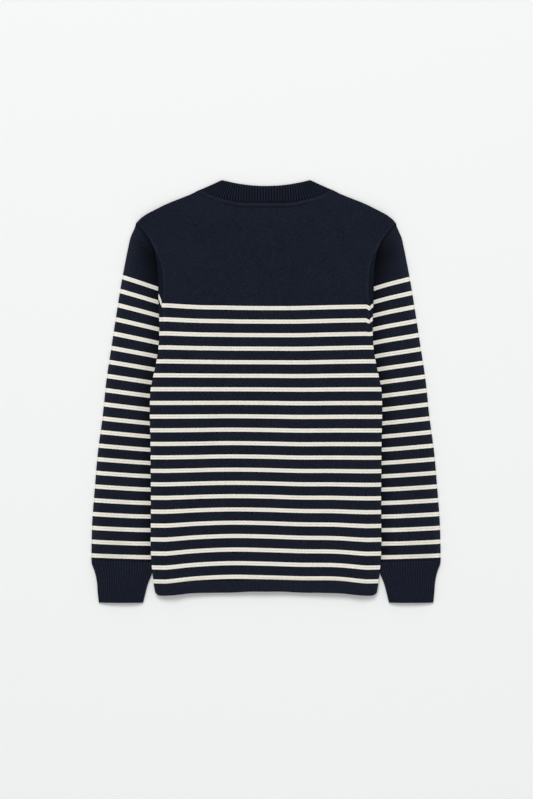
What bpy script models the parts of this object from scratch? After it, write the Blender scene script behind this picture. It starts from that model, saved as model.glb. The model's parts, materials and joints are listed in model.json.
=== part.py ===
"""A breton sweater laid face down and flat, back uppermost, neck towards +Y.

The model is in metres with +Z up. Its origin is under the middle of its box, on the surface that it lies
on. Sizes below are in millimetres and become metres where a wall is made.
"""

from collections import namedtuple

import bpy
import numpy as np

MM = 0.001

# The knit and how its layers stack.
WALL = 1.6
LAYER_GAP = 0.4
SEAM_GAP = 0.3
STACK = 2 * WALL + LAYER_GAP
FOLD_OUTSIDE = STACK / 2
FOLD_MIDDLE = FOLD_OUTSIDE - WALL / 2
SLEEVE_CLEARANCE = 0.4
HEAD_GAP = 0.345
BAND_GAP = 0.375
BODY_FILL = 1.0
BODY_FILL_RAMP = 60.0
SLEEVE_FILL = 1.4
SLEEVE_FILL_CLEAR = 6.0
SLEEVE_FILL_RAMP = 24.0
SLEEVE_FOLD_RAMP = 26.0

# Driving sizes of the garment.
TIP_X = 221.0
TIP_Y = 284.0
NECK_END_X = 109.5
NECK_END_Y = 343.5
BAND_PEAK_X = 74.7
BAND_PEAK_Y = 359.0
UNDERARM_X = 97.0
UNDERARM_Y = 146.0
CUFF_SEAM_Y = -286.0
CUFF_SEAM_IN_X = 190.0
CUFF_END_Y = -358.8
HEM_SIDE_Y = -327.0
HEM_DEPTH = 19.0

# The neck at its lowest point, and how sharply its seam and the band's fold bend up towards the shoulders.
Neck = namedtuple("Neck", "seam_y seam_power fold_y fold_power")
BACK_NECK = Neck(seam_y=320.3, seam_power=3.0, fold_y=348.9, fold_power=2.0)
FRONT_NECK = Neck(seam_y=255.0, seam_power=2.4, fold_y=283.0, fold_power=2.2)

# The sleeves' hidden halves raise the body: all of it this far in from their edge, none of it at the top.
LIFT_CLEAR = 26.0
LIFT_RAMP = 30.0
LIFT_TOP_Y = 262.0
LIFT_FADE = 46.0

# Low soft waves that run up the body from its hem.
WAVE_RISE = 1.0
WAVE_TOP_Y = 60.0
WAVE_FADE = 380.0
WAVE_LENGTH = 21.0
WAVE_SWAY = 0.9
WAVE_SWAY_LENGTH = 90.0

# How the grids of points are spaced, and where an edge turns over.
NECK_COLUMNS = 6
SIDE_COLUMNS = 4
PANEL_MARGIN = 9.0
NEAR_EDGE = 4.0
HEM_MARGIN = 4.5
BODY_ROWS = 12
BODY_ROWS_TOP_Y = 183.0
ARMHOLE_ROWS = (198.0, 213.0, 226.0, 241.0, 256.0, 270.0, 279.0)
SIDE_TURN_TOP_Y = 224.0
SIDE_TURN_FADE = 24.0
NECK_TURN_FADE = 12.0
SHOULDER_LEAN = 0.68
TURN_STEPS = np.radians([0.0, 35.0, 65.0, 90.0])
FOLD_STEPS = np.radians([50.0, 0.0, -50.0])
HEAD_ROWS = 5
HEAD_ROUND = 4.0
SLEEVE_ROWS = 13
BAND_ROWS = (0.0, 0.3, 0.65, 1.0)
CUFF_UNDER_COLUMNS = 9
HEM_UNDER_STEPS = 12
BAND_UNDER_COLUMNS = 27
SHARP_ANGLE = np.radians(50.0)

# Half the body's width at each height, from the hem's end to the shoulder tip.
BODY_EDGE = np.array(
    [
        # height, half_width
        (-346.0, 186.5),
        (-327.0, 189.5),
        (-298.0, 193.0),
        (-185.0, 194.5),
        (-88.0, 195.3),
        (-20.0, 196.2),
        (2.0, 195.2),
        (26.0, 190.5),
        (50.0, 185.4),
        (74.0, 181.7),
        (98.0, 180.4),
        (160.0, 181.8),
        (196.0, 182.8),
        (213.0, 184.0),
        (226.0, 186.0),
        (241.0, 190.4),
        (256.0, 198.0),
        (270.0, 208.5),
        (284.0, 221.0),
    ]
)

# The line where the last white course meets the hem rib, and the rib's lower edge.
HEM = np.array(
    [
        # across, seam_height, edge_height
        (0.0, -319.4, -339.2),
        (27.0, -320.1, -339.3),
        (60.0, -320.9, -341.0),
        (93.0, -321.1, -341.3),
        (127.0, -321.8, -342.2),
        (153.0, -325.2, -344.8),
        (180.0, -326.9, -346.0),
        (197.0, -327.2, -344.0),
    ]
)

# The sloping shoulder line from the neckband to the sleeve head.
SHOULDER = np.array(
    [
        # across, height
        (109.5, 343.5),
        (126.0, 334.8),
        (146.0, 326.6),
        (167.0, 318.0),
        (187.0, 308.0),
        (207.0, 297.0),
        (215.0, 290.8),
        (221.0, 284.0),
    ]
)

# The sleeve's outer edge from the shoulder tip to the cuff seam.
SLEEVE_OUTSIDE = np.array(
    [
        # height, across
        (284.0, 221.3),
        (274.0, 226.2),
        (264.0, 229.6),
        (244.0, 234.2),
        (213.0, 240.4),
        (183.0, 245.9),
        (142.0, 252.5),
        (81.0, 261.8),
        (20.0, 271.0),
        (-42.0, 277.5),
        (-103.0, 285.6),
        (-164.0, 290.9),
        (-225.0, 295.4),
        (-286.0, 296.8),
    ]
)

# Where the sleeve's head runs under the body, from the armhole to the underarm.
HEAD_UNDER = np.array(
    [
        # across, height
        (171.0, 206.0),
        (150.0, 192.0),
        (124.0, 166.0),
        (97.0, 146.0),
    ]
)

# Both edges of a cuff, which narrows from the sleeve to the hand.
CUFF = np.array(
    [
        # part_of_height, outer, inner
        (0.00, 296.6, 190.0),
        (0.10, 296.0, 190.6),
        (0.20, 293.0, 192.0),
        (0.34, 289.8, 195.2),
        (0.52, 287.4, 200.2),
        (0.76, 286.0, 204.8),
        (1.00, 284.2, 208.8),
    ]
)

# The courses of a sleeve slope most at its head and lie level at its cuff.
COURSE_SLOPE = 0.33
COURSE_SLOPE_FALL = 206.0
FIRST_WHITE_COURSE_Y = 193.6

# Ribs, counted on the side that shows, and how far each stands up.
BAND_RIBS = 46
CUFF_RIBS = 23
HEM_RIBS = 112
RIB_RISE = 0.5
CUFF_RIBS_CLEAR = 1.0
CUFF_RIBS_RAMP = 5.0

NAVY = (0.0105, 0.0130, 0.0225, 1.0)
NAVY_RIB = (0.0090, 0.0110, 0.0195, 1.0)
KNIT_ROUGHNESS = 0.92


def smooth(value):
    """0 below 0, 1 above 1, and an even S between them."""
    value = np.clip(value, 0.0, 1.0)
    return value * value * (3.0 - 2.0 * value)


def curve(table, at, key=0, column=1):
    """A smooth curve through a table's rows: cubic pieces whose slopes are weighted means of the chords."""
    order = np.argsort(table[:, key])
    xs = table[order, key]
    ys = table[order, column]
    widths = np.diff(xs)
    chords = np.diff(ys) / widths
    slopes = np.empty(len(xs))
    slopes[0] = chords[0]
    slopes[-1] = chords[-1]
    slopes[1:-1] = (chords[:-1] * widths[1:] + chords[1:] * widths[:-1]) / (widths[:-1] + widths[1:])
    at = np.clip(at, xs[0], xs[-1])
    piece = np.clip(np.searchsorted(xs, at, side="right") - 1, 0, len(xs) - 2)
    width = widths[piece]
    part = (at - xs[piece]) / width
    start = (1 + 2 * part) * (1 - part) ** 2 * ys[piece] + part * (1 - part) ** 2 * width * slopes[piece]
    end = part**2 * (3 - 2 * part) * ys[piece + 1] + part**2 * (part - 1) * width * slopes[piece + 1]
    return start + end


def body_edge(height):
    return curve(BODY_EDGE, height)


def neck_seam(across, neck):
    """Height of a neck seam: flat at the middle and steep at its ends."""
    return neck.seam_y + (NECK_END_Y - neck.seam_y) * np.abs(across / NECK_END_X) ** neck.seam_power


def under_edge(height):
    """How far out the sleeve's hidden edge lies under the body at a height."""
    part = (height - CUFF_SEAM_Y) / (UNDERARM_Y - CUFF_SEAM_Y)
    return CUFF_SEAM_IN_X + (UNDERARM_X - CUFF_SEAM_IN_X) * np.clip(part, 0.0, 1.0)


def lift(across, height):
    """How much the sleeves raise the body where it lies over them."""
    over_sleeve = (np.abs(across) - under_edge(height) + LIFT_CLEAR + LIFT_RAMP) / LIFT_RAMP
    below_shoulder = (LIFT_TOP_Y - height) / LIFT_FADE
    return (STACK + SLEEVE_CLEARANCE) * smooth(over_sleeve) * smooth(below_shoulder)


def material(name, colour):
    finish = bpy.data.materials.new(name)
    finish.use_nodes = True
    shader = finish.node_tree.nodes["Principled BSDF"]
    shader.inputs["Base Color"].default_value = colour
    shader.inputs["Roughness"].default_value = KNIT_ROUGHNESS
    shader.inputs["Metallic"].default_value = 0.0
    finish.diffuse_color = colour
    return finish


def cloth_wall(name, outside, inside, finish, tube=False):
    """One closed wall lofted between two grids of (row, column) points, open at its ends if it is a tube."""
    rows, columns = outside.shape[:2]
    points = np.concatenate([outside.reshape(-1, 3), inside.reshape(-1, 3)]) * MM
    outer = np.arange(rows * columns).reshape(rows, columns)
    if tube:
        outer = np.concatenate([outer, outer[:, :1]], axis=1)
    inner = outer + rows * columns

    def quads(a, b, c, d):
        return np.stack([a, b, c, d], axis=-1).reshape(-1, 4)

    faces = [
        quads(outer[:-1, :-1], outer[:-1, 1:], outer[1:, 1:], outer[1:, :-1]),
        quads(inner[:-1, :-1], inner[1:, :-1], inner[1:, 1:], inner[:-1, 1:]),
        quads(outer[0, 1:], outer[0, :-1], inner[0, :-1], inner[0, 1:]),
        quads(outer[-1, :-1], outer[-1, 1:], inner[-1, 1:], inner[-1, :-1]),
    ]
    if not tube:
        faces.append(quads(outer[:-1, 0], outer[1:, 0], inner[1:, 0], inner[:-1, 0]))
        faces.append(quads(outer[1:, -1], outer[:-1, -1], inner[:-1, -1], inner[1:, -1]))
    mesh = bpy.data.meshes.new(name)
    mesh.from_pydata(points.tolist(), [], np.concatenate(faces).tolist())
    mesh.materials.append(finish)
    mesh.shade_smooth()
    mesh.set_sharp_from_angle(angle=SHARP_ANGLE)
    piece = bpy.data.objects.new(name, mesh)
    bpy.data.collections["breton_sweater"].objects.link(piece)
    return piece


def turned_in():
    """How far in from a fold's edge each of its last columns or rows lies."""
    return FOLD_MIDDLE * (1 - np.sin(TURN_STEPS))


def fold_angles(distance, weight):
    """The angle that a panel has turned over, 0 where it is flat and a quarter turn at its fold edge."""
    part = np.clip(1.0 - distance / FOLD_MIDDLE, 0.0, 1.0)
    return np.arcsin(part) * weight


def across_panel(half_width):
    """Places across a panel, even in the middle and close together where its edges turn over."""
    flat_half = half_width - PANEL_MARGIN
    neck_part = NECK_END_X / (TIP_X - PANEL_MARGIN)
    over_neck = np.linspace(0.0, neck_part, NECK_COLUMNS)
    beside_neck = np.linspace(neck_part, 1.0, SIDE_COLUMNS)[1:]
    middle = np.concatenate([over_neck, beside_neck]) * flat_half
    right = np.concatenate([middle, [half_width - NEAR_EDGE], half_width - turned_in()])
    return np.concatenate([-right[:0:-1], right])


def panel_heights():
    """Heights of a panel's rows at its side edge. The last ones turn over at the shoulder."""
    below_armhole = np.linspace(HEM_SIDE_Y, BODY_ROWS_TOP_Y, BODY_ROWS)
    return np.concatenate([below_armhole, ARMHOLE_ROWS, TIP_Y - turned_in()])


def hem_seam(across):
    """The line between a panel and its hem rib, straight between the panel's columns."""
    corners = across_panel(body_edge(HEM_SIDE_Y))
    return np.interp(across, corners, curve(HEM, np.abs(corners)))


def in_neck(across):
    """True for the places across a panel's top that lie in its neck."""
    return np.abs(across) <= NECK_END_X + 0.01


def neck_points(neck):
    """The corners of a panel's neck edge."""
    columns = across_panel(TIP_X)
    across = columns[in_neck(columns)]
    return across, neck_seam(across, neck)


def panel_plan(neck):
    """Plan of a panel as a (row, column) grid, with each column's top height."""
    heights = panel_heights()
    columns = np.stack([across_panel(body_edge(height)) for height in heights])
    top_columns = across_panel(TIP_X)
    shoulder = curve(SHOULDER, np.abs(top_columns))
    top = np.where(in_neck(top_columns), neck_seam(top_columns, neck), shoulder)
    bottom = hem_seam(columns) + SEAM_GAP / 2
    part = ((heights - heights[0]) / (TIP_Y - heights[0]))[:, None]
    return columns, bottom + part * (top - bottom), top


def hem_wave(across, height):
    near_hem = smooth((WAVE_TOP_Y - height) / WAVE_FADE)
    sway = WAVE_SWAY * np.sin(height / WAVE_SWAY_LENGTH)
    return WAVE_RISE * near_hem * (0.5 + 0.5 * np.cos(across / WAVE_LENGTH + sway))


def fill(across, height, half_width):
    """How far the upper layer stands off the lower one, nothing at the edges."""
    from_side = smooth((half_width - np.abs(across)) / BODY_FILL_RAMP)
    from_top = smooth((BACK_NECK.seam_y - height) / BODY_FILL_RAMP)
    return (BODY_FILL + hem_wave(across, height)) * from_side * from_top


def layer_walls(across, height, turn_x, turn_y, layer, half_width, crest):
    """Both faces of a wall. layer is 1 for the upper panel and -1 for the one that it lies on.

    crest is how far each outer point stands up as part of a rib.
    """
    raised = lift(across, height)
    if layer > 0:
        raised = raised + fill(across, height, half_width)
    middle = STACK / 2 + layer * (STACK - WALL) / 2 + raised
    surface = np.stack([across, height, middle], axis=-1)
    normal = np.cross(np.gradient(surface, axis=1), np.gradient(surface, axis=0))
    normal *= layer / np.linalg.norm(normal, axis=-1, keepdims=True)
    turn = np.maximum(turn_x, turn_y)
    outward = np.stack([np.sign(across) * turn_x, SHOULDER_LEAN * turn_y, 0 * turn], axis=-1)
    outward[..., 0] += np.sign(across) * turn_y * (1 - SHOULDER_LEAN)
    outward /= np.maximum(np.linalg.norm(outward, axis=-1, keepdims=True), 1e-9)
    drop = (FOLD_MIDDLE - SEAM_GAP / 2) * (1 - np.cos(turn))
    surface[..., 2] -= layer * drop
    normal = normal * np.cos(turn)[..., None] + outward * np.sin(turn)[..., None]
    return surface + normal * (WALL / 2 + crest[..., None]), surface - normal * WALL / 2


def panel(name, layer, neck, finish):
    """The back or the front, from the hem rib to the shoulders, armholes and neck."""
    across, height, top = panel_plan(neck)
    half_width = across.max(axis=1, keepdims=True)
    below_armhole = smooth((SIDE_TURN_TOP_Y - height) / SIDE_TURN_FADE)
    beside_neck = smooth((np.abs(across) - NECK_END_X) / NECK_TURN_FADE)
    turn_x = fold_angles(half_width - np.abs(across), below_armhole)
    turn_y = fold_angles(top - height, beside_neck)
    outside, inside = layer_walls(across, height, turn_x, turn_y, layer, half_width, 0 * turn_x)
    if layer < 0:
        outside, inside = outside[:, ::-1], inside[:, ::-1]
    return cloth_wall(name, outside, inside, finish)


def hem_rib(name, layer, steps, finish):
    """The narrow rib under a panel. Its ribs stand up on the upper layer alone, one to a step."""
    turned = turned_in()
    middle = np.linspace(-1.0, 1.0, 2 * steps + 1)

    def row(half_width):
        right = half_width - turned
        return np.concatenate([-right[::-1], middle * (half_width - HEM_MARGIN), right])

    across = np.stack([row(body_edge(HEM_SIDE_Y)), row(body_edge(HEM_SIDE_Y - HEM_DEPTH))])
    seam = hem_seam(across[0]) - SEAM_GAP / 2
    height = np.stack([seam, curve(HEM, np.abs(across[1]), column=2)])
    half_width = across.max(axis=1, keepdims=True)
    crest = np.zeros(across.shape)
    if layer > 0:
        crest[:, len(turned) + 1 : -len(turned) : 2] = RIB_RISE
    turn_x = fold_angles(half_width - np.abs(across), 1.0)
    outside, inside = layer_walls(
        across[::-1], height[::-1], turn_x[::-1], 0 * turn_x, layer, half_width[::-1], crest
    )
    if layer < 0:
        outside, inside = outside[:, ::-1], inside[:, ::-1]
    return cloth_wall(name, outside, inside, finish)


def flat_tube(name, upper, lower, finish, crest, stand_off, mirrored=False):
    """A tube of cloth pressed flat. Its upper and lower lines of points end on the same two fold edges.

    Each row goes over the upper line, round a half circle at its last point, back along the lower line and
    round a half circle at its first one.
    """

    def outward(line, end):
        step = line[:, end] - line[:, 1 if end == 0 else -2]
        return step / np.linalg.norm(step, axis=-1, keepdims=True)

    start_way, end_way = outward(upper, 0), outward(upper, -1)
    start = upper[:, 0] - start_way * FOLD_OUTSIDE
    end = upper[:, -1] - end_way * FOLD_OUTSIDE
    over = np.concatenate([start[:, None], upper[:, 1:-1], end[:, None]], axis=1)
    back = np.concatenate([end[:, None], lower[:, 1:-1][:, ::-1], start[:, None]], axis=1)
    rows = len(upper)
    turn = len(FOLD_STEPS)
    centres = np.concatenate(
        [over, np.repeat(end[:, None], turn, 1), back, np.repeat(start[:, None], turn, 1)], axis=1
    )
    quarter = np.pi / 2
    angle = np.concatenate(
        [np.full(over.shape[1], quarter), FOLD_STEPS, np.full(back.shape[1], -quarter), FOLD_STEPS[::-1]]
    )
    way = np.zeros(centres.shape)
    way[:, over.shape[1] : over.shape[1] + turn] = end_way[:, None]
    way[:, -turn:] = start_way[:, None]
    rise = np.zeros(centres.shape[:2])
    rise[:, : over.shape[1]] = crest
    raised = np.zeros(centres.shape[:2])
    raised[:, : over.shape[1]] = stand_off

    def face(radius):
        plan = centres + way * (radius * np.cos(angle))[None, :, None]
        height = FOLD_OUTSIDE + radius * np.sin(angle) + raised
        return np.concatenate([plan, height[..., None]], axis=-1)

    outside = face(FOLD_OUTSIDE)
    outside[..., 2] += rise
    inside = face(FOLD_OUTSIDE - WALL)
    if mirrored:
        outside, inside = outside * (-1, 1, 1), inside * (-1, 1, 1)
    else:
        outside, inside = outside[:, ::-1], inside[:, ::-1]
    return cloth_wall(name, outside, inside, finish, tube=True)


def sleeve_line(outer_height, parts):
    """A straight course of the sleeve from its outer edge to its hidden edge, at parts 0 to 1 of the way."""
    outer = curve(SLEEVE_OUTSIDE, outer_height)
    slope = COURSE_SLOPE * np.exp(-(FIRST_WHITE_COURSE_Y - outer_height) / COURSE_SLOPE_FALL)
    inner_height = outer_height
    for _ in range(4):
        inner_height = outer_height - slope * (outer - under_edge(inner_height))
    ends = np.array([[outer, outer_height], [under_edge(inner_height), inner_height]])
    return ends[0] + (ends[1] - ends[0]) * parts[:, None]


def head_line():
    """The sleeve's head: just outside the armhole, then under the body to the underarm."""
    heights = panel_heights()
    heights = heights[(heights > HEAD_UNDER[0, 1]) & (heights < ARMHOLE_ROWS[-1] + 1.0)][::-1]
    edge = np.column_stack([body_edge(heights), heights])
    edge = np.concatenate([[[TIP_X, TIP_Y]], edge])
    along = np.gradient(edge, axis=0)
    along /= np.linalg.norm(along, axis=1, keepdims=True)
    outside = edge + np.column_stack([-along[:, 1], along[:, 0]]) * HEAD_GAP
    line = np.concatenate([outside, HEAD_UNDER])
    lengths = np.concatenate([[0.0], np.cumsum(np.linalg.norm(np.diff(line, axis=0), axis=1))])
    return line, lengths / lengths[-1]


def sleeve(name, mirrored, finish):
    """A sleeve from its curved head to the cuff seam, with its hidden half under the body."""
    head, parts = head_line()
    first = sleeve_line(FIRST_WHITE_COURSE_Y, parts)
    rows = []
    for part in np.arange(HEAD_ROWS) / HEAD_ROWS:
        outer_height = TIP_Y + (FIRST_WHITE_COURSE_Y - TIP_Y) * part
        line = head + (first - head) * part
        to_edge = np.array([curve(SLEEVE_OUTSIDE, outer_height), outer_height]) - line[0]
        rows.append(line + to_edge * (1 - parts[:, None]) * min(1.0, HEAD_ROUND * part))
    for outer_height in np.linspace(FIRST_WHITE_COURSE_Y, CUFF_SEAM_Y + SEAM_GAP / 2, SLEEVE_ROWS):
        rows.append(sleeve_line(outer_height, parts))
    line = np.stack(rows)
    across, height = line[..., 0], line[..., 1]
    outer = line[:, :1, 0]
    beside_body = smooth((across - body_edge(height) - SLEEVE_FILL_CLEAR) / SLEEVE_FILL_RAMP)
    stand_off = SLEEVE_FILL * beside_body * smooth((outer - across) / SLEEVE_FOLD_RAMP)
    return flat_tube(name, line[:, ::-1], line[:, ::-1], finish, 0.0, stand_off[:, ::-1], mirrored)


def cuff(name, mirrored, finish):
    """A rib tube that narrows from the sleeve's end to the hand."""
    seam = sleeve_line(CUFF_SEAM_Y - SEAM_GAP / 2, np.array([1.0, 0.0]))
    part = CUFF[:, :1]
    inner = np.column_stack([CUFF[:, 2], seam[0, 1] + (CUFF_END_Y - seam[0, 1]) * part[:, 0]])
    outer = np.column_stack([CUFF[:, 1], seam[1, 1] + (CUFF_END_Y - seam[1, 1]) * part[:, 0]])

    def line(count):
        along = np.linspace(0.0, 1.0, count)[None, :, None]
        return inner[:, None] + (outer - inner)[:, None] * along

    upper = line(2 * CUFF_RIBS + 1)
    crest = np.zeros(upper.shape[:2])
    crest[:, 1::2] = RIB_RISE
    crest *= smooth((upper[..., 0] - body_edge(upper[..., 1]) - CUFF_RIBS_CLEAR) / CUFF_RIBS_RAMP)
    return flat_tube(name, upper, line(CUFF_UNDER_COLUMNS), finish, crest, 0.0, mirrored)


def band_line(count, neck):
    """Rows of the neckband from its seam to its folded top. Its ribs lean outwards towards its ends."""
    part = np.linspace(-1.0, 1.0, count)
    neck_x, neck_y = neck_points(neck)
    seam = np.column_stack([NECK_END_X * part, np.interp(NECK_END_X * part, neck_x, neck_y)])
    lean = 1.0 - (1.0 - BAND_PEAK_X / NECK_END_X) * part**2
    top_x = NECK_END_X * part * lean
    top_y = neck.fold_y + (BAND_PEAK_Y - neck.fold_y) * np.abs(top_x / BAND_PEAK_X) ** neck.fold_power
    top = np.column_stack([top_x, top_y])
    rib = (top - seam) / np.linalg.norm(top - seam, axis=1, keepdims=True)
    seam = seam + rib * BAND_GAP
    return np.stack([top + (seam - top) * down for down in BAND_ROWS])


def neckband(name, finish):
    """One rib strip all round the neck: its back part shows, its front part hangs lower under the back."""
    upper = band_line(2 * BAND_RIBS + 1, BACK_NECK)
    lower = band_line(BAND_UNDER_COLUMNS, FRONT_NECK)
    crest = np.zeros(upper.shape[:2])
    crest[:, 1::2] = RIB_RISE
    return flat_tube(name, upper, lower, finish, crest, 0.0)


def main():
    for old in list(bpy.data.objects):
        bpy.data.objects.remove(old, do_unlink=True)
    garment = bpy.data.collections.new("breton_sweater")
    bpy.context.scene.collection.children.link(garment)
    knit = material("navy_knit", NAVY)
    rib = material("navy_rib", NAVY_RIB)
    panel("back", 1, BACK_NECK, knit)
    panel("front", -1, FRONT_NECK, knit)
    hem_rib("hem_back", 1, HEM_RIBS, rib)
    hem_rib("hem_front", -1, HEM_UNDER_STEPS, rib)
    for side, mirrored in (("left", True), ("right", False)):
        sleeve(f"sleeve_{side}", mirrored, knit)
        cuff(f"cuff_{side}", mirrored, rib)
    neckband("neckband", rib)


main()
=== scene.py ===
# %% [markdown]
# # A breton sweater, laid flat
# The sweater lies face down on a pale table, so its back shows. It is knitted in navy cotton with ecru
# stripes, and its neckband, cuffs and hem are rib. Every piece is a wall of cloth: a grid of points worked
# out with numpy for the outer face, and a second grid for the inner one. Lengths below are millimetres, and
# become Blender's metres where a mesh is made.

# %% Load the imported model
import json
import bpy
import numpy as np
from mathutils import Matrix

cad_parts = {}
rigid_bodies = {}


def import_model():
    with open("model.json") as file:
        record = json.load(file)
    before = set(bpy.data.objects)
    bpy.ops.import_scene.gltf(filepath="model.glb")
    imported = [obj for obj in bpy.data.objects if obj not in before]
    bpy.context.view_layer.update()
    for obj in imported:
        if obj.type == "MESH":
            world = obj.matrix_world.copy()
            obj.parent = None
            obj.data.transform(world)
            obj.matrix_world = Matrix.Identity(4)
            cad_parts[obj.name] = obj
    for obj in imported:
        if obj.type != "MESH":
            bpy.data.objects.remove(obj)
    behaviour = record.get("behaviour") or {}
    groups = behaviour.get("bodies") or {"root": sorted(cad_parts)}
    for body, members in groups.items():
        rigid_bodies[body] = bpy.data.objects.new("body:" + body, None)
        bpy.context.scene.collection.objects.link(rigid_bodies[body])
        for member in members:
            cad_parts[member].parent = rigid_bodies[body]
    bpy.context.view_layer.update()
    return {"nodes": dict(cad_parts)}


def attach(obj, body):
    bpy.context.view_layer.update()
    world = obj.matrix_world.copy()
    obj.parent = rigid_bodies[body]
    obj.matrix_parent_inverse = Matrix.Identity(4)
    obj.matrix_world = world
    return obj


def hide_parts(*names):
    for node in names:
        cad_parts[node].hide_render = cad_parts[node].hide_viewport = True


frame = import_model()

MM = 0.001
print("nodes:", sorted(frame["nodes"]))


# %% [markdown]
# Two small functions do most of the drawing. One is an even S between 0 and 1, for everything that fades in
# or out. The other runs a smooth curve through the few points that a pattern cutter would mark.

# %% Curves
def smooth(value):
    """0 below 0, 1 above 1, and 3v2 - 2v3 between them."""
    value = np.clip(value, 0.0, 1.0)
    return value * value * (3.0 - 2.0 * value)


def curve(table, at, key=0, column=1):
    """A cubic through each pair of rows. A row's slope is the weighted mean of the chords beside it."""
    order = np.argsort(table[:, key])
    xs = table[order, key]
    ys = table[order, column]
    widths = np.diff(xs)
    chords = np.diff(ys) / widths
    slopes = np.empty(len(xs))
    slopes[0] = chords[0]
    slopes[-1] = chords[-1]
    slopes[1:-1] = (chords[:-1] * widths[1:] + chords[1:] * widths[:-1]) / (widths[:-1] + widths[1:])
    at = np.clip(at, xs[0], xs[-1])
    piece = np.clip(np.searchsorted(xs, at, side="right") - 1, 0, len(xs) - 2)
    width = widths[piece]
    part = (at - xs[piece]) / width
    start = (1 + 2 * part) * (1 - part) ** 2 * ys[piece] + part * (1 - part) ** 2 * width * slopes[piece]
    end = part**2 * (3 - 2 * part) * ys[piece + 1] + part**2 * (part - 1) * width * slopes[piece + 1]
    return start + end


def ridge(distance, width):
    """A soft bump, 1 on its line, that falls as a bell curve to each side."""
    return np.exp(-((distance / width) ** 2))


print("smooth(0.25) =", smooth(0.25))

# %% [markdown]
# The cut of the garment. These are the real sizes of an adult size M, and the solids underneath have them
# too: the shoulder tips and the neck, and then each outline as a short table of heights and half widths.

# %% Sizes of the garment
WALL = 1.6
LAYER_GAP = 0.4
SEAM_GAP = 0.3
STACK = 2 * WALL + LAYER_GAP
FOLD_OUTSIDE = STACK / 2
FOLD_MIDDLE = FOLD_OUTSIDE - WALL / 2
TIP_X, TIP_Y = 221.0, 284.0
NECK_END_X, NECK_END_Y = 109.5, 343.5
BACK_NECK_Y, FRONT_NECK_Y = 320.3, 255.0
BAND_PEAK_X, BAND_PEAK_Y = 74.7, 359.0
BAND_BACK_Y, BAND_FRONT_Y = 348.9, 283.0
UNDERARM_X, UNDERARM_Y = 97.0, 146.0
CUFF_SEAM_Y, CUFF_SEAM_IN_X, CUFF_END_Y = -286.0, 190.0, -358.8
HEM_SIDE_Y = -327.0

BODY_EDGE = np.array(
    [
        # height, half_width
        (-346.0, 186.5), (-327.0, 189.5), (-298.0, 193.0), (-185.0, 194.5), (-88.0, 195.3),
        (-20.0, 196.2), (2.0, 195.2), (26.0, 190.5), (50.0, 185.4), (74.0, 181.7), (98.0, 180.4),
        (160.0, 181.8), (196.0, 182.8), (213.0, 184.0), (226.0, 186.0), (241.0, 190.4),
        (256.0, 198.0), (270.0, 208.5), (284.0, 221.0),
    ]
)
HEM = np.array(
    [
        # across, seam_height, edge_height
        (0.0, -319.4, -339.2), (27.0, -320.1, -339.3), (60.0, -320.9, -341.0), (93.0, -321.1, -341.3),
        (127.0, -321.8, -342.2), (153.0, -325.2, -344.8), (180.0, -326.9, -346.0), (197.0, -327.2, -344.0),
    ]
)
SHOULDER = np.array(
    [
        # across, height
        (109.5, 343.5), (126.0, 334.8), (146.0, 326.6), (167.0, 318.0),
        (187.0, 308.0), (207.0, 297.0), (215.0, 290.8), (221.0, 284.0),
    ]
)
SLEEVE_OUTSIDE = np.array(
    [
        # height, across
        (284.0, 221.3), (274.0, 226.2), (264.0, 229.6), (244.0, 234.2), (213.0, 240.4),
        (183.0, 245.9), (142.0, 252.5), (81.0, 261.8), (20.0, 271.0), (-42.0, 277.5),
        (-103.0, 285.6), (-164.0, 290.9), (-225.0, 295.4), (-286.0, 296.8),
    ]
)
HEAD_UNDER = np.array(
    [
        # across, height
        (171.0, 206.0), (150.0, 192.0), (124.0, 166.0), (97.0, 146.0),
    ]
)
CUFF = np.array(
    [
        # part_of_height, outer, inner
        (0.00, 296.6, 190.0), (0.10, 296.0, 190.6), (0.20, 293.0, 192.0), (0.34, 289.8, 195.2),
        (0.52, 287.4, 200.2), (0.76, 286.0, 204.8), (1.00, 284.2, 208.8),
    ]
)
print("chest, edge to edge:", 2 * curve(BODY_EDGE, 0.0), "mm")

# %% [markdown]
# The photograph looks straight down on a nearly white table. A long lens far above keeps the sides of the
# garment upright in the picture. The frame is 533 by 799 pixels and one pixel is 1.7 mm on the cloth, so the
# lens follows from the height of the frame.

# %% Camera and table
PIXEL = 1.7
FRAME_HEIGHT = 799
FRAME_CENTRE = (0.85, -13.8)
CAMERA_UP = 3000.0
SENSOR = 36.0
CLIP_END = 20.0

camera_data = bpy.data.cameras.new("camera")
camera_data.sensor_fit = "VERTICAL"
camera_data.sensor_height = SENSOR
camera_data.lens = SENSOR * CAMERA_UP / (PIXEL * FRAME_HEIGHT)
camera_data.clip_end = CLIP_END
camera = bpy.data.objects.new("camera", camera_data)
camera.location = (FRAME_CENTRE[0] * MM, FRAME_CENTRE[1] * MM, CAMERA_UP * MM)
bpy.context.scene.collection.objects.link(camera)
bpy.context.scene.camera = camera

FLOOR_HALF = 6.0
FLOOR_DROP = 0.0004
FLOOR_CORNERS = ((-1, -1), (1, -1), (1, 1), (-1, 1))
floor_mesh = bpy.data.meshes.new("table")
floor_points = [(x * FLOOR_HALF, y * FLOOR_HALF, -FLOOR_DROP) for x, y in FLOOR_CORNERS]
floor_mesh.from_pydata(floor_points, [], [(0, 1, 2, 3)])
floor = bpy.data.objects.new("table", floor_mesh)
bpy.context.scene.collection.objects.link(floor)
print("lens:", round(camera_data.lens, 1), "mm")

# %% [markdown]
# Soft studio light: one broad lamp high beyond the neck, so that the faint shadows fall below the hem and
# cuffs, a second from the other side to open them, and a pale world that lights the rest evenly.

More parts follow.
